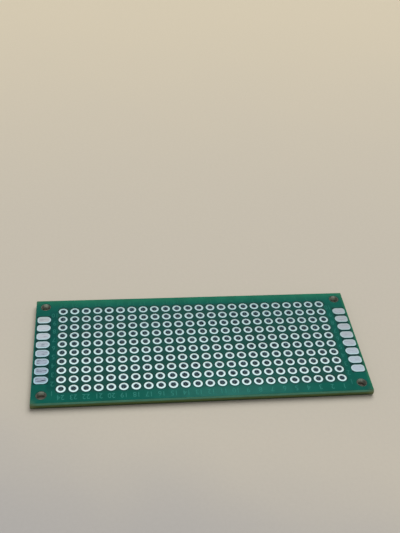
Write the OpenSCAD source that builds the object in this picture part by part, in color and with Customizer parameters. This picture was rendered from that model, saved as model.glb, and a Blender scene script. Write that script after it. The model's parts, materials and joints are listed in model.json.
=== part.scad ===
// Double-sided prototype board.
//
// A glass-epoxy laminate carries a grid of plated-through holes at a 0.1 inch pitch, a row of
// edge pads at each short end, and four unplated mounting holes. A film of solder mask covers
// both faces and leaves the pads bare. Both faces have the same copper.
//
// The board lies flat, its length along X. The origin is at the middle of the plane that the
// lower pads rest on, with +Z up. All sizes are in millimetres.

/* [Board] */
// Length of the board
board_l = 70.5; // [69:0.1:100]
// Width of the board
board_w = 30.3; // [29:0.1:60]
// Thickness of the bare laminate
laminate_t = 1.5; // [1:0.1:3.2]
// How far the scored edge slopes in towards each face
score_in = 0.1; // [0.02:0.01:0.15]
// How deep the score runs down the edge from each face
score_depth = 0.4; // [0.1:0.05:0.6]

/* [Hole grid] */
// Number of holes along the length
columns = 24; // [2:1:24]
// Number of holes across the width
rows = 10; // [3:1:10]
// Distance between neighbouring holes
pitch = 2.54; // [2.3:0.01:2.6]
// Finished bore of a plated hole
lead_hole_d = 1; // [0.6:0.05:1.3]
// Thickness of the metal that lines a plated hole
plating_t = 0.05; // [0.03:0.01:0.1]
// Outer diameter of the round pad at each end of a plated hole
pad_d = 2; // [1.6:0.05:2.2]

/* [Pads] */
// Height of every pad above the laminate at its crown, copper and solder together
pad_t = 0.07; // [0.06:0.01:0.15]
// Height of a pad at its edge
pad_edge_t = 0.025; // [0.01:0.005:0.05]
// Distance from its edge over which a pad rises to its full height
pad_shoulder = 0.25; // [0.1:0.05:0.3]

/* [Edge pads] */
// Length of an edge pad
edge_pad_l = 2.9; // [2:0.05:3.5]
// Width of an edge pad
edge_pad_w = 2; // [1.5:0.05:2.2]
// Radius of an edge pad's two corners nearest the board's edge
edge_pad_corner_r = 0.7; // [0.3:0.05:0.7]
// Distance from an edge pad to the end of the board
edge_pad_margin = 0.5; // [0.2:0.05:0.6]

/* [Mounting holes] */
// Diameter of a mounting hole, for an M2 screw
mount_hole_d = 2; // [1.6:0.1:2.6]
// Distance from a mounting hole's centre to both board edges beside it
mount_inset = 2.15; // [1.7:0.05:2.4]
// Width of the bare ring that the solder mask leaves round a mounting hole
mount_relief = 0.15; // [0.05:0.05:0.3]

/* [Solder mask] */
// Thickness of the solder mask film
mask_t = 0.04; // [0.02:0.005:0.05]
// Gap between the edge of a pad and the solder mask
mask_gap = 0.05; // [0.02:0.01:0.1]

/* [Hidden] */
// heights of the laminate's two faces and of the upper pads' tops
laminate_z = pad_t;
top_face_z = laminate_z + laminate_t;
top_z = top_face_z + pad_t;

// the laminate is drilled wide enough to take the plating
drill_d = lead_hole_d + 2 * plating_t;

// radius of the arc that a pad's solder follows from its edge up to its full height
function shoulder_r(shoulder) =
    (shoulder * shoulder + pow(pad_t - pad_edge_t, 2)) / 2 / (pad_t - pad_edge_t);

// centre of an edge pad's round end, from the pad's other end
edge_pad_round_x = edge_pad_l - edge_pad_w / 2;

// the film ends where the scored edge starts to slope
mask_l = board_l - 2 * score_in;
mask_w = board_w - 2 * score_in;

// a drill runs past both faces by this much
overcut = 1;
smooth = 48;
shoulder_smooth = 96;

function column_x(column) = (column - (columns - 1) / 2) * pitch;
function row_y(row) = (row - (rows - 1) / 2) * pitch;
function column_name(column) = str("hole_plating_", column < 9 ? "0" : "", column + 1);

// puts its children at every hole of the grid
module at_grid() {
    for (column = [0 : columns - 1], row = [0 : rows - 1])
        translate([column_x(column), row_y(row)]) children();
}

// puts its children at the four mounting holes
module at_mounts() {
    for (x = [-1, 1], y = [-1, 1])
        translate([x * (board_l / 2 - mount_inset), y * (board_w / 2 - mount_inset)]) children();
}

// puts its children, drawn inwards along +X, at the outer end of each edge pad on one side:
// -1 is the left end and 1 the right. The first and last rows have no edge pad.
module at_edge_pads(side) {
    for (row = [1 : rows - 2])
        translate([side * (board_l / 2 - edge_pad_margin), row_y(row)])
            mirror([side > 0 ? 1 : 0, 0]) children();
}

// section across the board: straight in the middle, sloped where it was scored
module scored_section(width) {
    z = [laminate_z, laminate_z + score_depth, top_face_z - score_depth, top_face_z];
    half = width / 2;
    polygon([
        [-half + score_in, z[0]], [half - score_in, z[0]],
        [half, z[1]], [half, z[2]],
        [half - score_in, z[3]], [-half + score_in, z[3]],
        [-half, z[2]], [-half, z[1]]
    ]);
}

// the blank, scored along all four edges
module blank() {
    intersection() {
        rotate([90, 0, 0]) linear_extrude(board_w, center = true) scored_section(board_l);
        rotate([90, 0, 90]) linear_extrude(board_l, center = true) scored_section(board_w);
    }
}

module laminate() {
    color("#6f7a45")
        difference() {
            blank();
            translate([0, 0, laminate_z - overcut]) {
                at_grid() cylinder(h = laminate_t + 2 * overcut, d = drill_d, $fn = smooth);
                at_mounts() cylinder(h = laminate_t + 2 * overcut, d = mount_hole_d, $fn = smooth);
            }
        }
}

// outline of an edge pad, its round end inwards, made larger all round by the given amount
module edge_pad_outline(grow = 0) {
    half_w = edge_pad_w / 2 + grow;
    corner_r = edge_pad_corner_r + grow;
    translate([edge_pad_round_x, 0]) circle(r = half_w, $fn = smooth);
    translate([edge_pad_corner_r, -half_w])
        square([edge_pad_round_x - edge_pad_corner_r, 2 * half_w]);
    translate([-grow, corner_r - half_w]) square([corner_r, 2 * (half_w - corner_r)]);
    for (y = [-1, 1])
        translate([edge_pad_corner_r, y * (half_w - corner_r)]) circle(r = corner_r, $fn = smooth);
}

// half the section of a pad, from its middle at the origin to its edge at the given distance
module pad_half_section(half, shoulder = pad_shoulder) {
    shoulder_r = shoulder_r(shoulder);
    intersection() {
        square([half, pad_t]);
        union() {
            if (half > shoulder) square([half - shoulder, pad_t]);
            translate([half - shoulder, pad_t - shoulder_r])
                circle(r = shoulder_r, $fn = shoulder_smooth);
        }
    }
}

module round_pad_end(r) {
    rotate_extrude($fn = smooth) pad_half_section(r);
}

// a straight stretch of pad along X from the origin
module pad_bar(length, width) {
    rotate([90, 0, 90])
        linear_extrude(length)
            for (side = [0, 1]) mirror([side, 0]) pad_half_section(width / 2);
}

// the pad on that outline: one bar to the round end, one between the two rounded corners
module edge_pad() {
    corner_y = edge_pad_w / 2 - edge_pad_corner_r;
    translate([edge_pad_round_x, 0]) round_pad_end(edge_pad_w / 2);
    translate([edge_pad_corner_r, 0]) pad_bar(edge_pad_round_x - edge_pad_corner_r, edge_pad_w);
    translate([edge_pad_corner_r, -corner_y])
        rotate([0, 0, 90]) pad_bar(2 * corner_y, 2 * edge_pad_corner_r);
    for (y = [-1, 1]) translate([edge_pad_corner_r, y * corner_y]) round_pad_end(edge_pad_corner_r);
}

// side is -1 for the left end and 1 for the right, face is 1 for the upper face of the board
// and -1 for the lower
module edge_pads(side, face) {
    color("#bcc3cf")
        translate([0, 0, face > 0 ? top_face_z : laminate_z])
            mirror([0, 0, face > 0 ? 0 : 1])
                at_edge_pads(side) edge_pad();
}

// one film, z the height of its lower face
module solder_mask(z) {
    color("#145f55")
        translate([0, 0, z])
            linear_extrude(mask_t)
                difference() {
                    square([mask_l, mask_w], center = true);
                    at_grid() circle(d = pad_d + 2 * mask_gap, $fn = smooth);
                    at_mounts() circle(d = mount_hole_d + 2 * mount_relief, $fn = smooth);
                    for (side = [-1, 1]) at_edge_pads(side) edge_pad_outline(mask_gap);
                }
}

module solder_mask_top() solder_mask(top_face_z);
module solder_mask_bottom() solder_mask(laminate_z - mask_t);

// section of the pad round a hole, its lower face on the X axis
module ring_section() {
    bore_r = lead_hole_d / 2;
    half = (pad_d / 2 - bore_r) / 2;
    translate([bore_r + half, 0])
        for (side = [0, 1]) mirror([side, 0]) pad_half_section(half, min(half, pad_shoulder));
}

// the metal of one hole: a barrel through the laminate with a domed pad on each face
module plated_hole() {
    rotate_extrude($fn = smooth) {
        translate([lead_hole_d / 2, laminate_z]) square([plating_t, laminate_t]);
        translate([0, top_face_z]) ring_section();
        translate([0, laminate_z]) mirror([0, 1]) ring_section();
    }
}

module hole_plating(column) {
    color("#cfdcdc")
        translate([column_x(column), 0, 0])
            for (row = [0 : rows - 1])
                translate([0, row_y(row), 0]) plated_hole();
}

laminate();
solder_mask_top();
solder_mask_bottom();
edge_pads(-1, 1);  // edge_pads_left_top
edge_pads(-1, -1);  // edge_pads_left_bottom
edge_pads(1, 1);  // edge_pads_right_top
edge_pads(1, -1);  // edge_pads_right_bottom
for (column = [0 : columns - 1])
    hole_plating(column);
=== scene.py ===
import json
import math

import bmesh
import bpy
from mathutils import Matrix, Vector


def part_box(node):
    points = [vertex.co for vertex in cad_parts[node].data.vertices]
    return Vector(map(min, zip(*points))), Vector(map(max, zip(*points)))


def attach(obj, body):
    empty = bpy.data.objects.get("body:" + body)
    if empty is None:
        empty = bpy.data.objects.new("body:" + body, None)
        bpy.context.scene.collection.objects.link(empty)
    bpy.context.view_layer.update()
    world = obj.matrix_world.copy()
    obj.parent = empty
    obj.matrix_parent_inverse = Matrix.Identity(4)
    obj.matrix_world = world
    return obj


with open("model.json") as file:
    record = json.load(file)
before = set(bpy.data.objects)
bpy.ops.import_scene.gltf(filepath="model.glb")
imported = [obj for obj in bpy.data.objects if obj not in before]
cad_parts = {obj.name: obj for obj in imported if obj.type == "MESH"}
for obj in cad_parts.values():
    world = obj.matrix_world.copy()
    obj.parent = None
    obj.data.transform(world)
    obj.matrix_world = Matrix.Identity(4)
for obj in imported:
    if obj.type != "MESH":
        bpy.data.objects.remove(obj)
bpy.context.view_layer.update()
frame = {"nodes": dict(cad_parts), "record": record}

millimetres = 1000.0  # materials work in millimetres, the objects are in metres

platingNodes = sorted(name for name in frame["nodes"] if name.startswith("hole_plating_"))
edgePadNodes = sorted(name for name in frame["nodes"] if name.startswith("edge_pads_"))
maskNodes = ["solder_mask_top", "solder_mask_bottom"]


def measureBoard():
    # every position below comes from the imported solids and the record, in metres
    columns = []
    for name in platingNodes:
        low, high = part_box(name)
        columns.append((low.x + high.x) / 2)
    low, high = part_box(platingNodes[0])
    padR = (high.x - low.x) / 2
    pitch = columns[1] - columns[0]
    rows = []
    y = low.y + padR
    while y < high.y:
        rows.append(y)
        y += pitch
    mounts = {mount["name"]: mount["dims"] for mount in frame["record"]["mounts"]}
    holes = mounts["mounting_holes"]
    padLow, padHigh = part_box("edge_pads_right_top")
    boardLow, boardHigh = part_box("laminate")
    return {
        "columns": columns,
        "rows": rows,
        "lastColumn": columns[-1],
        "lastRow": rows[-1],
        "pitch": pitch,
        "padR": padR,
        "boreR": mounts["lead_hole_c01_r01"]["r_mm"] / millimetres,
        "edgePadOuter": padHigh.x,
        "edgePadInner": padLow.x,
        "mountX": holes["spacing_x_mm"] / 2 / millimetres,
        "mountY": holes["spacing_y_mm"] / 2 / millimetres,
        "mountR": holes["hole_r_mm"] / millimetres,
        "maskTop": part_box("solder_mask_top")[1].z,
        "halfL": boardHigh.x,
        "halfW": boardHigh.y,
        "faceLow": boardLow.z,
        "faceHigh": boardHigh.z,
    }


board = measureBoard()
# the same measures in millimetres, for the materials
boardMm = {key: value * millimetres for key, value in board.items()
           if not isinstance(value, list)}
print("board measured:", len(board["columns"]), "columns,", len(board["rows"]), "rows")


# short ways to add an object, and to turn a bmesh into a mesh

def addObject(name, data):
    thing = bpy.data.objects.new(name, data)
    bpy.context.scene.collection.objects.link(thing)
    return thing


def finishMesh(build, name):
    mesh = bpy.data.meshes.new(name)
    build.to_mesh(mesh)
    build.free()
    return mesh


# short ways to build a node graph

def startMaterial(name):
    material = bpy.data.materials.new(name)
    material.use_nodes = True
    shader = material.node_tree.nodes["Principled BSDF"]
    return material, material.node_tree, shader


def feed(tree, socket, value):
    if isinstance(value, bpy.types.NodeSocket):
        tree.links.new(value, socket)
    else:
        socket.default_value = value


def maths(tree, operation, *values):
    node = tree.nodes.new("ShaderNodeMath")
    node.operation = operation
    for socket, value in zip(node.inputs, values):
        feed(tree, socket, value)
    return node.outputs[0]


def times(tree, product, *factors):
    for factor in factors:
        product = maths(tree, "MULTIPLY", product, factor)
    return product


def ease(tree, value, start, end, low=0.0, high=1.0):
    # a smooth change from low at start to high at end
    node = tree.nodes.new("ShaderNodeMapRange")
    node.interpolation_type = "SMOOTHSTEP"
    feed(tree, node.inputs["Value"], value)
    node.inputs["From Min"].default_value = start
    node.inputs["From Max"].default_value = end
    node.inputs["To Min"].default_value = low
    node.inputs["To Max"].default_value = high
    return node.outputs["Result"]


def easePast(tree, value, mark, reach, low=0.0, high=1.0):
    # the same, with its start and end given as distances past a mark
    return ease(tree, value, mark + reach[0], mark + reach[1], low, high)


def blendColours(tree, factor, first, second, kind="MIX"):
    node = tree.nodes.new("ShaderNodeMix")
    node.data_type = "RGBA"
    node.blend_type = kind
    feed(tree, node.inputs["Factor"], factor)
    for key, value in (("A", first), ("B", second)):
        socket = [s for s in node.inputs if s.name == key and s.type == "RGBA"][0]
        feed(tree, socket, value)
    return [s for s in node.outputs if s.type == "RGBA"][0]


def vector(tree, x, y, z=0.0):
    node = tree.nodes.new("ShaderNodeCombineXYZ")
    for socket, value in zip(node.inputs, (x, y, z)):
        feed(tree, socket, value)
    return node.outputs[0]


def split(tree, place):
    node = tree.nodes.new("ShaderNodeSeparateXYZ")
    tree.links.new(place, node.inputs[0])
    return node.outputs[0], node.outputs[1], node.outputs[2]


def length(tree, x, y):
    node = tree.nodes.new("ShaderNodeVectorMath")
    node.operation = "LENGTH"
    tree.links.new(vector(tree, x, y), node.inputs[0])
    return node.outputs["Value"]


def noise(tree, place, scale, detail, roughness):
    node = tree.nodes.new("ShaderNodeTexNoise")
    tree.links.new(place, node.inputs["Vector"])
    node.inputs["Scale"].default_value = scale
    node.inputs["Detail"].default_value = detail
    node.inputs["Roughness"].default_value = roughness
    return node.outputs["Fac"]


def chancePerCell(tree, place):
    # one random number and one random colour for each whole-numbered place
    node = tree.nodes.new("ShaderNodeTexWhiteNoise")
    node.noise_dimensions = "3D"
    tree.links.new(place, node.inputs["Vector"])
    return node.outputs["Value"], node.outputs["Color"]


def bump(tree, shader, height, depth):
    # depth is what a height of 1 stands for, in metres
    node = tree.nodes.new("ShaderNodeBump")
    node.inputs["Strength"].default_value = 1.0
    node.inputs["Distance"].default_value = depth
    tree.links.new(height, node.inputs["Height"])
    tree.links.new(node.outputs["Normal"], shader.inputs["Normal"])


def tinted(tree, base, tone):
    return blendColours(tree, 1.0, base, vector(tree, tone, tone, tone), "MULTIPLY")


def unevenRoughness(tree, shader, pattern, finish):
    # a noise lies nearly all between 0.25 and 0.75
    middle, swing = finish["roughness"], finish["roughnessSwing"]
    feed(tree, shader.inputs["Roughness"],
         ease(tree, pattern, 0.25, 0.75, middle - swing, middle + swing))


def chooseShader(tree, factor, first, second, output):
    choose = tree.nodes.new("ShaderNodeMixShader")
    tree.links.new(factor, choose.inputs["Fac"])
    tree.links.new(first, choose.inputs[1])
    tree.links.new(second, choose.inputs[2])
    tree.links.new(choose.outputs[0], tree.nodes[output].inputs["Surface"])


def placeInMillimetres(tree, stretch=(1.0, 1.0, 1.0)):
    # under 1 on an axis draws a pattern out along it
    coordinates = tree.nodes.new("ShaderNodeTexCoord")
    mapping = tree.nodes.new("ShaderNodeMapping")
    mapping.inputs["Scale"].default_value = [millimetres * s for s in stretch]
    tree.links.new(coordinates.outputs["Object"], mapping.inputs["Vector"])
    return mapping.outputs["Vector"]


def cellNumber(tree, value):
    # a whole number that names the nearest hole along X or Y: with an even number of rows and
    # columns, each hole is in the middle of a cell
    return maths(tree, "FLOOR", maths(tree, "DIVIDE", value, boardMm["pitch"]))


def cellOffset(tree, value):
    # how far along X or Y from the nearest hole's centre
    inside = maths(tree, "FRACT", maths(tree, "DIVIDE", value, boardMm["pitch"]))
    return times(tree, maths(tree, "SUBTRACT", inside, 0.5), boardMm["pitch"])


def fromMountingHole(tree, x, y):
    # how far along X and Y from the nearest mounting hole's axis
    fromX = maths(tree, "SUBTRACT", maths(tree, "ABSOLUTE", x), boardMm["mountX"])
    holeY = times(tree, maths(tree, "SIGN", y), boardMm["mountY"])
    return fromX, maths(tree, "SUBTRACT", y, holeY)


def colour(red, green, blue):
    # from the 0 to 255 scale of a colour picker
    def linear(value):
        value /= 255
        return value / 12.92 if value <= 0.04045 else ((value + 0.055) / 1.055) ** 2.4
    return (linear(red), linear(green), linear(blue), 1.0)


# In the dictionaries of the materials, lengths are in millimetres and depths of bump in metres.
# A noise is given by its scale, detail and roughness. A change runs from 0 to 1 between the two
# numbers given, or where there are four, from the third to the fourth between the first two.
# Where it follows an edge of the board, the film or a pad, those are distances past that edge.

mask = {
    "margin": colour(7, 89, 77),
    "shadeBetweenPads": colour(25, 75, 68),
    "strip": colour(2, 76, 69),
    "farEdge": colour(30, 111, 86),
    "paintedSheen": colour(46, 110, 101),
    "shadeBesidePads": colour(10, 56, 54),
    "rubbed": colour(92, 122, 90),
    "litPlusXEnd": colour(34, 112, 80),
    "gridFade": (0.5, -0.3),
    "stripFromGrid": (0.0, 0.5),
    "stripToEdgePads": (0.7, 0.0),
    "stripEnds": (0.0, -1.5),
    "stripAcross": (40.0, -40.0, 0.2, 1.0),
    "farFade": (-2.7, 0.0),
    "paintedSheenAt": (5.0, -14.0),
    "paintedSheenSquash": 1.6,  # the painted sheen is this much shorter along Y
    "paintedSheenReach": (24.0, 0.0, 0.0, 0.75),
    "paintedSheenLossInGrid": 0.35,
    "padShade": (0.3, 0.04),
    "gridShadeEnds": (0.5, 0.35),
    "edgePadShadeInwards": (-0.25, 0.2),
    "edgePadShadeOutwards": (0.3, 0.05),
    "edgePadShadeSides": (0.35, 0.05),
    "rubFade": (-1.6, 0.0),
    "rubMost": 0.4,
    "litPlusXEndFade": (-0.4, 0.3),
    "litPlusXEndMost": 0.75,
    "weavePitch": 0.46,
    "weaveTint": 0.14,
    "weaveBump": 0.35,
    "patches": (0.35, 3.0, 0.5),
    "patchTone": (0.3, 0.7, 0.91, 1.09),
    "scratchStretch": (0.25, 6.0, 1.0),
    "scratches": (1.1, 3.0, 0.7),
    "scratchTone": (0.66, 0.74, 0.0, 0.05),
    "smears": (0.9, 4.0, 0.6),
    "roughness": 0.34,
    "roughnessSwing": 0.08,
    "gloss": 0.065,
    "peel": (3.2, 3.0, 0.5),
    "bumpDepth": 0.0000022,
}


def maskMaterial():
    material, tree, shader = startMaterial("green solder mask")
    place = placeInMillimetres(tree)
    x, y = split(tree, place)[:2]
    outX, outY = maths(tree, "ABSOLUTE", x), maths(tree, "ABSOLUTE", y)
    gridX = boardMm["lastColumn"] + boardMm["padR"]
    gridY = boardMm["lastRow"] + boardMm["padR"]
    edgePadIn, edgePadOut = boardMm["edgePadInner"], boardMm["edgePadOuter"]
    inGrid = times(tree, easePast(tree, outX, gridX, mask["gridFade"]),
                   easePast(tree, outY, gridY, mask["gridFade"]))
    # painted shade: the film between the pads is darker than at the margins
    base = blendColours(tree, inGrid, mask["margin"], mask["shadeBetweenPads"])
    # the strips between the grid and the edge pads are a deeper green, the -X one most
    inStrip = times(tree, easePast(tree, outX, gridX, mask["stripFromGrid"]),
                    easePast(tree, outX, edgePadIn, mask["stripToEdgePads"]),
                    easePast(tree, outY, gridY, mask["stripEnds"]),
                    ease(tree, x, *mask["stripAcross"]))
    base = blendColours(tree, inStrip, base, mask["strip"])
    atFarEdge = easePast(tree, y, boardMm["halfW"], mask["farFade"])
    base = blendColours(tree, atFarEdge, base, mask["farEdge"])
    # painted sheen: the film is paler about the middle of the near side, and less so between the
    # pads
    sheenX = maths(tree, "SUBTRACT", x, mask["paintedSheenAt"][0])
    sheenY = maths(tree, "SUBTRACT", y, mask["paintedSheenAt"][1])
    fromSheen = length(tree, sheenX, times(tree, sheenY, mask["paintedSheenSquash"]))
    sheenAmount = times(tree, ease(tree, fromSheen, *mask["paintedSheenReach"]),
                     maths(tree, "MULTIPLY_ADD", inGrid, -mask["paintedSheenLossInGrid"], 1.0))
    base = blendColours(tree, sheenAmount, base, mask["paintedSheen"])
    # the film is darker where it runs up to a pad: it lies thickest there, and painted shade is
    # added
    away = length(tree, cellOffset(tree, x), cellOffset(tree, y))
    shadeByRings = times(tree, easePast(tree, outX, gridX, mask["gridShadeEnds"]),
                    easePast(tree, outY, gridY, mask["gridShadeEnds"]),
                    easePast(tree, away, boardMm["padR"], mask["padShade"]))
    lastEdgePad = gridY - boardMm["pitch"]
    shadeByEdgePads = times(tree, easePast(tree, outX, edgePadIn, mask["edgePadShadeInwards"]),
                       easePast(tree, outX, edgePadOut, mask["edgePadShadeOutwards"]),
                       easePast(tree, outY, lastEdgePad, mask["edgePadShadeSides"]))
    base = blendColours(tree, maths(tree, "MAXIMUM", shadeByRings, shadeByEdgePads), base,
                        mask["shadeBesidePads"])
    # at the corners the film is rubbed thin, and the +X end is a lighter green, which is painted
    # light
    rub = times(tree, easePast(tree, outX, boardMm["halfL"], mask["rubFade"]),
                easePast(tree, outY, boardMm["halfW"], mask["rubFade"]), mask["rubMost"])
    base = blendColours(tree, rub, base, mask["rubbed"])
    litEndAmount = easePast(tree, x, edgePadOut, mask["litPlusXEndFade"], 0.0, mask["litPlusXEndMost"])
    base = blendColours(tree, litEndAmount, base, mask["litPlusXEnd"])
    # the glass cloth shows faintly through the film, which has patches and fine scratches
    waves = [maths(tree, "SINE", times(tree, value, 2 * math.pi / mask["weavePitch"]))
             for value in (x, y)]
    cloth = maths(tree, "MULTIPLY_ADD", times(tree, *waves), 0.5, 0.5)
    tone = maths(tree, "MULTIPLY_ADD", cloth, mask["weaveTint"], 1.0 - mask["weaveTint"] / 2)
    patches = noise(tree, place, *mask["patches"])
    tone = times(tree, tone, ease(tree, patches, *mask["patchTone"]))
    scratches = noise(tree, placeInMillimetres(tree, mask["scratchStretch"]), *mask["scratches"])
    tone = maths(tree, "ADD", tone, ease(tree, scratches, *mask["scratchTone"]))
    feed(tree, shader.inputs["Base Color"], tinted(tree, base, tone))
    unevenRoughness(tree, shader, noise(tree, place, *mask["smears"]), mask)
    shader.inputs["Specular IOR Level"].default_value = mask["gloss"]
    peel = noise(tree, place, *mask["peel"])
    height = maths(tree, "MULTIPLY_ADD", cloth, mask["weaveBump"], peel)
    bump(tree, shader, height, mask["bumpDepth"])
    return material


laminate = {
    "scored": colour(88, 156, 132),
    "core": colour(84, 104, 56),
    "shadedBottomBand": colour(60, 72, 34),
    "wornCorner": colour(118, 126, 88),
    "bare": colour(36, 60, 48),
    "wallLitTop": colour(238, 252, 236),
    "wallDeep": colour(126, 120, 110),
    "farWallDeep": colour(152, 168, 157),
    "wallShaded": colour(124, 124, 117),
    "coreShares": (0.1, 0.45),  # of the thickness, as are the next
    "scoredShares": (0.55, 0.8),
    "layers": 8,
    "layerTint": 0.07,
    "fibreStretch": (0.35, 0.35, 9.0),
    "fibres": (1.6, 4.0, 0.62),
    "fibreWander": 0.3,
    "fibreTone": (0.3, 0.7, 0.82, 1.16),
    "wornFade": (-1.8, 0.0),
    "wornTone": (0.35, 0.6, 0.4, 0.8),
    "faceSkin": 0.004,
    "wallFade": (0.03, 0.005),
    "wallLight": (-1.25, -0.45),
    "farHoles": (-5.0, 5.0),
    "shadeAlongY": (0.9, 0.3),  # radii of the hole, as are the next
    "shadeAlongX": (0.15, 0.75),
    "shadeMost": 0.9,
    "shadePatchStretch": (1.0, 1.0, 0.35),
    "shadePatches": (1.6, 4.0, 0.65),
    "shadePatchTone": (0.4, 0.68, 0.0, 0.5),
    "roughness": 0.62,
    "gloss": 0.3,
    "bumpDepth": 0.00001,
}


def laminateMaterial():
    material, tree, shader = startMaterial("glass epoxy")
    place = placeInMillimetres(tree)
    x, y, z = split(tree, place)
    low, high = boardMm["faceLow"], boardMm["faceHigh"]
    thick = high - low
    # the cut edge, in plies: darker below, where painted shade is added, olive in the middle, and
    # paler at the top, where it was scored and painted light is added
    fibres = noise(tree, placeInMillimetres(tree, laminate["fibreStretch"]), *laminate["fibres"])
    wander = maths(tree, "MULTIPLY_ADD", fibres, laminate["fibreWander"],
                   -laminate["fibreWander"] / 2)
    level = maths(tree, "ADD", z, wander)
    side = laminate["shadedBottomBand"]
    for key, shares in (("core", "coreShares"), ("scored", "scoredShares")):
        reach = [share * thick for share in laminate[shares]]
        side = blendColours(tree, easePast(tree, level, low, reach), side, laminate[key])
    plies = maths(tree, "SINE", times(tree, level, 2 * math.pi * laminate["layers"] / thick))
    tone = times(tree, maths(tree, "MULTIPLY_ADD", plies, laminate["layerTint"], 1.0),
                 ease(tree, fibres, *laminate["fibreTone"]))
    side = tinted(tree, side, tone)
    # the corners are rubbed down to paler glass
    outX, outY = maths(tree, "ABSOLUTE", x), maths(tree, "ABSOLUTE", y)
    rubbed = times(tree, easePast(tree, outX, boardMm["halfL"], laminate["wornFade"]),
                   easePast(tree, outY, boardMm["halfW"], laminate["wornFade"]),
                   ease(tree, fibres, *laminate["wornTone"]))
    side = blendColours(tree, rubbed, side, laminate["wornCorner"])
    # bare faces inside the openings of the film
    onFaces = maths(tree, "MAXIMUM", maths(tree, "GREATER_THAN", z, high - laminate["faceSkin"]),
                    maths(tree, "LESS_THAN", z, low + laminate["faceSkin"]))
    base = blendColours(tree, onFaces, side, laminate["bare"])
    # drilled walls are browner than the cut edge, pale towards the top with painted light and
    # darker deeper down with painted shade; lower down, the far holes' walls are lighter
    deep = blendColours(tree, ease(tree, y, *laminate["farHoles"]), laminate["wallDeep"],
                        laminate["farWallDeep"])
    wall = blendColours(tree, easePast(tree, level, high, laminate["wallLight"]), deep,
                        laminate["wallLitTop"])
    # painted shade darkens each hole's wall in patches, everywhere but its +Y side
    fromX, fromY = fromMountingHole(tree, x, y)
    holeR = boardMm["mountR"]
    shadePatches = noise(tree, placeInMillimetres(tree, laminate["shadePatchStretch"]), *laminate["shadePatches"])
    wallShadeAmount = ease(tree, shadePatches, *laminate["shadePatchTone"])
    fromMiddle = maths(tree, "ABSOLUTE", fromX)
    for distance, key in ((fromY, "shadeAlongY"), (fromMiddle, "shadeAlongX")):
        reach = [radii * holeR for radii in laminate[key]]
        wallShadeAmount = maths(tree, "MAXIMUM", wallShadeAmount,
                      ease(tree, distance, *reach, 0.0, laminate["shadeMost"]))
    wall = tinted(tree, blendColours(tree, wallShadeAmount, wall, laminate["wallShaded"]), tone)
    onWall = easePast(tree, length(tree, fromX, fromY), holeR, laminate["wallFade"])
    base = blendColours(tree, onWall, base, wall)
    feed(tree, shader.inputs["Base Color"], base)
    shader.inputs["Roughness"].default_value = laminate["roughness"]
    shader.inputs["Specular IOR Level"].default_value = laminate["gloss"]
    bump(tree, shader, fibres, laminate["bumpDepth"])
    return material


ringSolder = {
    "near": colour(232, 255, 255),
    "far": colour(196, 224, 225),
    "rim": colour(154, 195, 202),
    "darkLipReflection": colour(82, 101, 110),
    "bore": colour(192, 215, 228),
    "farEnd": 1.5,  # the far colour is full this far past the last row
    "stains": (1.9, 4.0, 0.6),
    "stainTone": (0.32, 0.68),
    "chanceShare": 0.4,  # of the dulling, and the stains have the rest
    "chanceSeed": 1.0,
    "dullTone": (0.15, 0.85, 1.0, 0.95),
    "acrossTone": (0.0, 30.0, 1.0, 0.93),
    "rimFade": (-0.1, 0.0),
    "lipRun": (2.4, 3.0, 0.6),
    "lipWander": 0.16,
    "lipFade": (0.25, -0.03),
    "boreFade": (0.012, 0.002),
    "grain": (7.0, 4.0, 0.6),
    "roughness": 0.34,
    "roughnessSwing": 0.1,
    "lean": 12.0,
    "crown": 5.0,
    "bumpDepth": 0.000006,
}


def ringSolderMaterial():
    material, tree, shader = startMaterial("solder on the round pads")
    place = placeInMillimetres(tree)
    x, y = split(tree, place)[:2]
    offsets = [cellOffset(tree, x), cellOffset(tree, y)]
    away = length(tree, *offsets)
    hole = vector(tree, cellNumber(tree, x), cellNumber(tree, y), ringSolder["chanceSeed"])
    chance, leans = chancePerCell(tree, hole)
    boreR, padR, lastRow = boardMm["boreR"], boardMm["padR"], boardMm["lastRow"]
    # the near rows are brighter than the far rows, a painted reflection, and each pad is a little
    # more or less dull than its neighbours
    base = blendColours(tree, ease(tree, y, -lastRow, lastRow + ringSolder["farEnd"]),
                        ringSolder["near"], ringSolder["far"])
    stains = ease(tree, noise(tree, place, *ringSolder["stains"]), *ringSolder["stainTone"])
    share = ringSolder["chanceShare"]
    amount = maths(tree, "MULTIPLY_ADD", chance, share,
                   times(tree, stains, 1.0 - share))
    tone = times(tree, ease(tree, amount, *ringSolder["dullTone"]),
                 ease(tree, x, *ringSolder["acrossTone"]))
    base = tinted(tree, base, tone)
    base = blendColours(tree, easePast(tree, away, padR, ringSolder["rimFade"]), base,
                        ringSolder["rim"])
    # where the solder runs unevenly into the bore it is darker, a painted reflection of the dark
    # bore
    lipWander = ringSolder["lipWander"]
    wander = maths(tree, "MULTIPLY_ADD", noise(tree, place, *ringSolder["lipRun"]),
                   -2 * lipWander, lipWander)
    lipAway = maths(tree, "ADD", away, wander)
    base = blendColours(tree, easePast(tree, lipAway, boreR, ringSolder["lipFade"]), base,
                        ringSolder["darkLipReflection"])
    base = blendColours(tree, easePast(tree, away, boreR, ringSolder["boreFade"]), base,
                        ringSolder["bore"])
    feed(tree, shader.inputs["Base Color"], base)
    shader.inputs["Metallic"].default_value = 1.0
    grain = noise(tree, place, *ringSolder["grain"])
    unevenRoughness(tree, shader, grain, ringSolder)
    # a fine skin, on solder that set a little off level and has its crown halfway to the bore
    height = grain
    for offset, lean in zip(offsets, split(tree, leans)):
        slope = times(tree, maths(tree, "SUBTRACT", lean, 0.5), ringSolder["lean"])
        height = maths(tree, "MULTIPLY_ADD", offset, slope, height)
    across = maths(tree, "DIVIDE", maths(tree, "SUBTRACT", away, (boreR + padR) / 2),
                   (padR - boreR) / 2)
    crown = times(tree, across, across, -ringSolder["crown"])
    bump(tree, shader, maths(tree, "ADD", height, crown), ringSolder["bumpDepth"])
    return material


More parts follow.
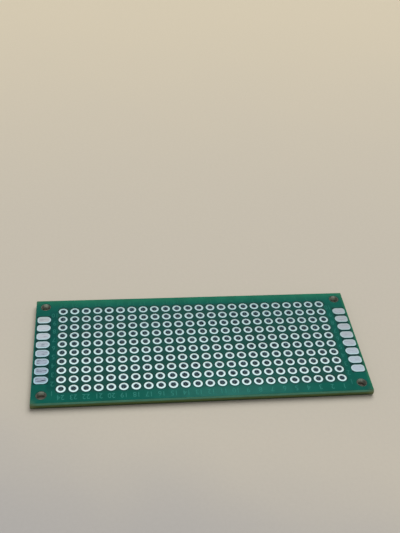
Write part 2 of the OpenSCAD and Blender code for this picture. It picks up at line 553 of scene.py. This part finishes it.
edgeSolder = {
    "centre": colour(198, 205, 211),
    "rightEnd": colour(183, 195, 206),
    "farRight": colour(181, 188, 195),
    "farLeft": colour(194, 198, 199),
    "dull": colour(160, 172, 188),
    "streak": colour(58, 68, 82),
    "rim": colour(190, 216, 221),
    "rimFarRight": colour(164, 190, 191),
    "rimDull": colour(174, 210, 220),
    "toRight": (-20.0, 20.0),
    "toLeft": (20.0, -20.0),
    "farRightRows": (-5.0, 1.0),
    "farLeftRows": (6.0, 9.0),
    "dullRows": (8.0, -8.0, 0.15, 1.0),
    "lineStretch": (0.55, 2.6, 1.9),
    "lines": (1.0, 4.0, 0.62),
    "lineTone": (0.51, 0.625),
    "lineLeast": 0.22,
    "lineFromEdge": (0.2, 0.6),
    "smearStretch": (0.8, 1.6, 1.0),
    "smears": (1.3, 4.0, 0.62),
    "smearTone": (0.25, 0.75, 0.9, 1.08),
    "fullTone": 1.02,
    "rightShade": 0.07,
    "rightShadeRows": (-9.0, 9.0),
    "leftShade": 0.08,
    "cornerShare": 0.7,
    "rimFade": (0.3, 0.14),
    "roughness": 0.36,
    "roughnessSwing": 0.1,
    "grain": (5.0, 4.0, 0.6),
    "waves": (0.9, 2.0, 0.5),
    "waveHeight": 3.0,
    "bumpDepth": 0.000008,
}


def insideEdgePad(tree, x, y):
    # distance in from an edge pad's outline: half round inwards, two rounded corners outwards
    halfPad = boardMm["padR"]
    roundCentre = boardMm["edgePadOuter"] - boardMm["edgePadInner"] - halfPad
    corner = halfPad * edgeSolder["cornerShare"]
    fromEnd = maths(tree, "SUBTRACT", boardMm["edgePadOuter"], maths(tree, "ABSOLUTE", x))
    sideways = maths(tree, "ABSOLUTE", cellOffset(tree, y))
    pastCentre = maths(tree, "MAXIMUM", maths(tree, "SUBTRACT", fromEnd, roundCentre), 0.0)
    fromRoundEnd = maths(tree, "SUBTRACT", halfPad, length(tree, pastCentre, sideways))
    cornerX = maths(tree, "MAXIMUM", maths(tree, "SUBTRACT", corner, fromEnd), 0.0)
    cornerY = maths(tree, "MAXIMUM", maths(tree, "SUBTRACT", sideways, halfPad - corner), 0.0)
    fromCorners = maths(tree, "SUBTRACT", corner, length(tree, cornerX, cornerY))
    return maths(tree, "MINIMUM", fromRoundEnd, fromCorners)


def edgeSolderMaterial():
    material, tree, shader = startMaterial("solder on the edge pads")
    place = placeInMillimetres(tree)
    x, y = split(tree, place)[:2]
    fromEdge = insideEdgePad(tree, x, y)
    atRight = ease(tree, x, *edgeSolder["toRight"])
    atLeft = ease(tree, x, *edgeSolder["toLeft"])
    base = blendColours(tree, atRight, edgeSolder["centre"], edgeSolder["rightEnd"])
    atFarRight = times(tree, atRight, ease(tree, y, *edgeSolder["farRightRows"]))
    base = blendColours(tree, atFarRight, base, edgeSolder["farRight"])
    atFarLeft = times(tree, atLeft, ease(tree, y, *edgeSolder["farLeftRows"]))
    base = blendColours(tree, atFarLeft, base, edgeSolder["farLeft"])
    # the pads at the -X end have dulled, most of all towards the -Y corner
    dulling = times(tree, atLeft, ease(tree, y, *edgeSolder["dullRows"]))
    base = blendColours(tree, dulling, base, edgeSolder["dull"])
    # dark streaks run along the dulled pads, and a few faint ones along the others
    lines = noise(tree, placeInMillimetres(tree, edgeSolder["lineStretch"]), *edgeSolder["lines"])
    streaks = times(tree, ease(tree, lines, *edgeSolder["lineTone"]),
                    maths(tree, "MAXIMUM", dulling, edgeSolder["lineLeast"]),
                    ease(tree, fromEdge, *edgeSolder["lineFromEdge"]))
    base = blendColours(tree, streaks, base, edgeSolder["streak"])
    smears = noise(tree, placeInMillimetres(tree, edgeSolder["smearStretch"]),
                   *edgeSolder["smears"])
    shadedRight = times(tree, atRight, ease(tree, y, *edgeSolder["rightShadeRows"]))
    tone = times(tree, ease(tree, smears, *edgeSolder["smearTone"]),
                 maths(tree, "MULTIPLY_ADD", shadedRight, -edgeSolder["rightShade"],
                       edgeSolder["fullTone"]),
                 maths(tree, "MULTIPLY_ADD", atFarLeft, -edgeSolder["leftShade"], 1.0))
    base = tinted(tree, base, tone)
    # a thin rim follows each pad's outline
    rim = blendColours(tree, times(tree, shadedRight, shadedRight), edgeSolder["rim"],
                       edgeSolder["rimFarRight"])
    rim = blendColours(tree, dulling, rim, edgeSolder["rimDull"])
    base = blendColours(tree, ease(tree, fromEdge, *edgeSolder["rimFade"]), base, rim)
    feed(tree, shader.inputs["Base Color"], base)
    shader.inputs["Metallic"].default_value = 1.0
    unevenRoughness(tree, shader, smears, edgeSolder)
    height = maths(tree, "MULTIPLY_ADD", noise(tree, place, *edgeSolder["waves"]),
                   edgeSolder["waveHeight"], noise(tree, place, *edgeSolder["grain"]))
    bump(tree, shader, height, edgeSolder["bumpDepth"])
    return material


def dress(nodeNames, material):
    for name in nodeNames:
        for slot in frame["nodes"][name].material_slots:
            slot.material = material


dress(maskNodes, maskMaterial())
dress(["laminate"], laminateMaterial())
dress(platingNodes, ringSolderMaterial())
dress(edgePadNodes, edgeSolderMaterial())
print("materials on", len(frame["nodes"]), "nodes")


ink = {
    # the print, in metres
    "digitHeight": 0.0013,
    "film": 0.000008,
    "nearRow": -0.01376,
    "farRow": 0.01355,
    "endColumn": 0.031,
    "endShift": -0.0012,
    "turn": 180.0,  # degrees
    "squeeze": 0.86,  # width over the type's own
    "curveSteps": 3,
    "weld": 0.0005,  # of the type's size
    # the material
    "colour": colour(54, 133, 122),
    "worn": colour(36, 109, 100),
    "faded": colour(21, 103, 83),
    "endFaded": colour(34, 104, 95),
    "gaps": (5.0, 3.0, 0.6),
    "gapTone": (0.35, 0.7),
    "gapRoughness": (0.3, 0.7, 0.45, 0.65),
    "endFade": (29.6, 30.4, 0.0, 0.65),
    "farFade": (9.0, 13.0, 0.0, 0.93),
    "gloss": 0.13,
    "bumpDepth": 0.000003,
}


def digitMesh(text):
    height = ink["digitHeight"]
    curve = bpy.data.curves.new("digits", "FONT")
    curve.body = text
    curve.size = 1.0
    curve.align_x = "CENTER"
    curve.align_y = "CENTER"
    curve.resolution_u = ink["curveSteps"]
    curve.extrude = ink["film"] / height / 2
    holder = addObject("digits", curve)
    shapes = bpy.context.evaluated_depsgraph_get()
    shapes.update()
    mesh = bpy.data.meshes.new_from_object(holder.evaluated_get(shapes))
    bpy.data.objects.remove(holder)
    bpy.data.curves.remove(curve)
    build = bmesh.new()
    build.from_mesh(mesh)
    bpy.data.meshes.remove(mesh)
    # the sides of the type are joined to its faces, then it is centred and brought to size
    bmesh.ops.remove_doubles(build, verts=build.verts, dist=ink["weld"])
    bmesh.ops.dissolve_degenerate(build, edges=build.edges, dist=ink["weld"])
    low = min(v.co.y for v in build.verts)
    high = max(v.co.y for v in build.verts)
    size = height / (high - low)
    bmesh.ops.translate(build, verts=build.verts, vec=(0, -(low + high) / 2, 0))
    bmesh.ops.scale(build, verts=build.verts, vec=(size * ink["squeeze"], size, height))
    bmesh.ops.recalc_face_normals(build, faces=build.faces)
    return build


def addLabel(whole, text, x, y):
    build = digitMesh(text)
    bmesh.ops.rotate(build, verts=build.verts, cent=(0, 0, 0),
                     matrix=Matrix.Rotation(math.radians(ink["turn"]), 3, "Z"))
    bmesh.ops.translate(build, verts=build.verts,
                        vec=(x, y, board["maskTop"] + ink["film"] / 2))
    part = finishMesh(build, "part")
    whole.from_mesh(part)
    bpy.data.meshes.remove(part)


def inkMaterial():
    material, tree, shader = startMaterial("printed ink")
    place = placeInMillimetres(tree)
    x, y = split(tree, place)[:2]
    gaps = noise(tree, place, *ink["gaps"])
    base = blendColours(tree, ease(tree, gaps, *ink["gapTone"]), ink["colour"], ink["worn"])
    base = blendColours(tree, ease(tree, maths(tree, "ABSOLUTE", x), *ink["endFade"]), base,
                        ink["endFaded"])
    base = blendColours(tree, ease(tree, y, *ink["farFade"]), base, ink["faded"])
    feed(tree, shader.inputs["Base Color"], base)
    feed(tree, shader.inputs["Roughness"], ease(tree, gaps, *ink["gapRoughness"]))
    shader.inputs["Specular IOR Level"].default_value = ink["gloss"]
    bump(tree, shader, gaps, ink["bumpDepth"])
    return material


def makeNumbers():
    print("printing the numbers")
    whole = bmesh.new()
    for index, x in enumerate(reversed(board["columns"])):
        for y in (ink["nearRow"], ink["farRow"]):
            addLabel(whole, str(index + 1), x, y)
    for index, y in enumerate(board["rows"]):
        for x in (-ink["endColumn"], ink["endColumn"]):
            addLabel(whole, str(index + 1), x, y + ink["endShift"])
    numbers = addObject("printed_numbers", finishMesh(whole, "printed_numbers"))
    numbers.data.materials.append(inkMaterial())
    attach(numbers, "root")


makeNumbers()


def roomRays(tree):
    # the rays that show the plain room in place of what lights the scene
    rays = tree.nodes.new("ShaderNodeLightPath").outputs
    seen = maths(tree, "MAXIMUM", rays["Is Camera Ray"], rays["Is Glossy Ray"])
    return maths(tree, "MAXIMUM", seen, rays["Is Transmission Ray"])


floor = {
    "size": 8.0,  # metres, as is the drop
    "drop": 0.00002,
    "near": colour(180, 177, 174),
    "middle": colour(200, 193, 180),
    "far": colour(216, 205, 182),
    "horizon": colour(211, 203, 187),
    "clouds": (0.03, 2.0, 0.5),
    "cloudReach": 20.0,  # how far along Y the clouds shift the shades, from end to end
    "shadePatchAt": (-25.0, -60.0),
    "shadePatchReach": (120.0, 55.0),
    "shadePatchSkew": 0.3,
    "nearFade": (-20.0, -58.0),
    "farFade": (0.0, 200.0),
    "hazeFade": (350.0, 1600.0),
    "grain": (1.4, 4.0, 0.6),
    "grainTone": (0.2, 0.8, 0.985, 1.015),
    "roughness": 0.7,
    "gloss": 0.2,
}


def floorMaterial():
    material, tree, shader = startMaterial("pale table")
    place = placeInMillimetres(tree)
    x, y = split(tree, place)[:2]
    clouds = noise(tree, place, *floor["clouds"])
    reach = maths(tree, "MULTIPLY_ADD", clouds, floor["cloudReach"],
                  maths(tree, "SUBTRACT", y, floor["cloudReach"] / 2))
    # painted shade: a soft grey patch just off the board's near corner
    fromShadePatch = length(tree, maths(tree, "SUBTRACT", x, floor["shadePatchAt"][0]),
                       maths(tree, "SUBTRACT", y, floor["shadePatchAt"][1]))
    skewed = maths(tree, "MULTIPLY_ADD", x, floor["shadePatchSkew"], reach)
    shadePatch = times(tree, ease(tree, skewed, *floor["nearFade"]),
                  ease(tree, fromShadePatch, *floor["shadePatchReach"]))
    base = blendColours(tree, shadePatch, floor["middle"], floor["near"])
    base = blendColours(tree, ease(tree, reach, *floor["farFade"]), base, floor["far"])
    grain = noise(tree, place, *floor["grain"])
    base = tinted(tree, base, ease(tree, grain, *floor["grainTone"]))
    feed(tree, shader.inputs["Base Color"], base)
    shader.inputs["Roughness"].default_value = floor["roughness"]
    shader.inputs["Specular IOR Level"].default_value = floor["gloss"]
    # far off the floor takes the room's colour, so that no horizon shows
    haze = tree.nodes.new("ShaderNodeEmission")
    haze.inputs["Color"].default_value = floor["horizon"]
    haze.inputs["Strength"].default_value = 1.0
    farOff = times(tree, roomRays(tree), ease(tree, length(tree, x, y), *floor["hazeFade"]))
    chooseShader(tree, farOff, shader.outputs["BSDF"], haze.outputs[0], "Material Output")
    return material


def makeFloor():
    print("laying the floor")
    build = bmesh.new()
    bmesh.ops.create_grid(build, x_segments=1, y_segments=1, size=floor["size"] / 2)
    bmesh.ops.translate(build, verts=build.verts, vec=(0, 0, -floor["drop"]))
    top = addObject("floor", finishMesh(build, "floor"))
    top.data.materials.append(floorMaterial())


makeFloor()


light = {
    "skyColour": (1.0, 0.99, 0.97, 1.0),
    "skyStrength": 0.34,
    "horizon": floor["horizon"],
    "overhead": colour(251, 254, 255),
    "horizonFade": (0.08, 0.7),
    "keyBearing": 22.0,  # degrees, as is the height
    "keyHeight": 57.0,
    "keyDistance": 6.0,  # metres, as is the size
    "keySize": 5.2,
    "keyPower": 300.0,
    "keyColour": (1.0, 0.99, 0.97),
}


def lightRoom():
    world = bpy.data.worlds.new("plain room")
    bpy.context.scene.world = world
    world.use_nodes = True
    tree = world.node_tree
    sky = tree.nodes["Background"]
    sky.inputs["Color"].default_value = light["skyColour"]
    sky.inputs["Strength"].default_value = light["skyStrength"]
    # what the camera and the shiny surfaces see of the room is pale, and lighter overhead
    up = split(tree, tree.nodes.new("ShaderNodeTexCoord").outputs["Generated"])[2]
    room = tree.nodes.new("ShaderNodeBackground")
    feed(tree, room.inputs["Color"], blendColours(
        tree, ease(tree, up, *light["horizonFade"]), light["horizon"], light["overhead"]))
    room.inputs["Strength"].default_value = 1.0
    chooseShader(tree, roomRays(tree), sky.outputs[0], room.outputs[0], "World Output")


def hangLamp():
    lamp = bpy.data.lights.new("soft key lamp", "AREA")
    lamp.shape = "DISK"
    lamp.size = light["keySize"]
    lamp.energy = light["keyPower"]
    lamp.color = light["keyColour"]
    bearing, height = math.radians(light["keyBearing"]), math.radians(light["keyHeight"])
    towards = Vector((math.sin(bearing) * math.cos(height),
                      math.cos(bearing) * math.cos(height), math.sin(height)))
    holder = addObject("soft key lamp", lamp)
    holder.location = towards * light["keyDistance"]
    holder.rotation_mode = "QUATERNION"
    holder.rotation_quaternion = towards.to_track_quat("Z", "Y")
    holder.visible_glossy = False  # the shiny pads show the pale room, not the lamp itself


print("lighting")
lightRoom()
hangLamp()


view = {
    "eye": (-0.019887, -0.124847, 0.1283),  # metres, as is the aim
    "aim": (0.003027, 0.025964, 0.001605),
    "roll": 4.198,  # degrees
    "lens": 55.52,  # millimetres, as is the sensor
    "sensor": 36.0,
    "nearest": 0.005,  # metres, as is the furthest
    "furthest": 20.0,
}


def placeCamera():
    print("placing the camera")
    data = bpy.data.cameras.new("camera")
    data.lens = view["lens"]
    data.sensor_width = view["sensor"]
    data.sensor_fit = "AUTO"
    data.clip_start = view["nearest"]
    data.clip_end = view["furthest"]
    camera = addObject("camera", data)
    eye, aim = Vector(view["eye"]), Vector(view["aim"])
    turn = (aim - eye).to_track_quat("-Z", "Y").to_matrix()
    turn = turn @ Matrix.Rotation(math.radians(view["roll"]), 3, "Z")
    camera.matrix_world = Matrix.Translation(eye) @ turn.to_4x4()
    bpy.context.scene.camera = camera


placeCamera()
bpy.context.scene.view_settings.view_transform = "Standard"
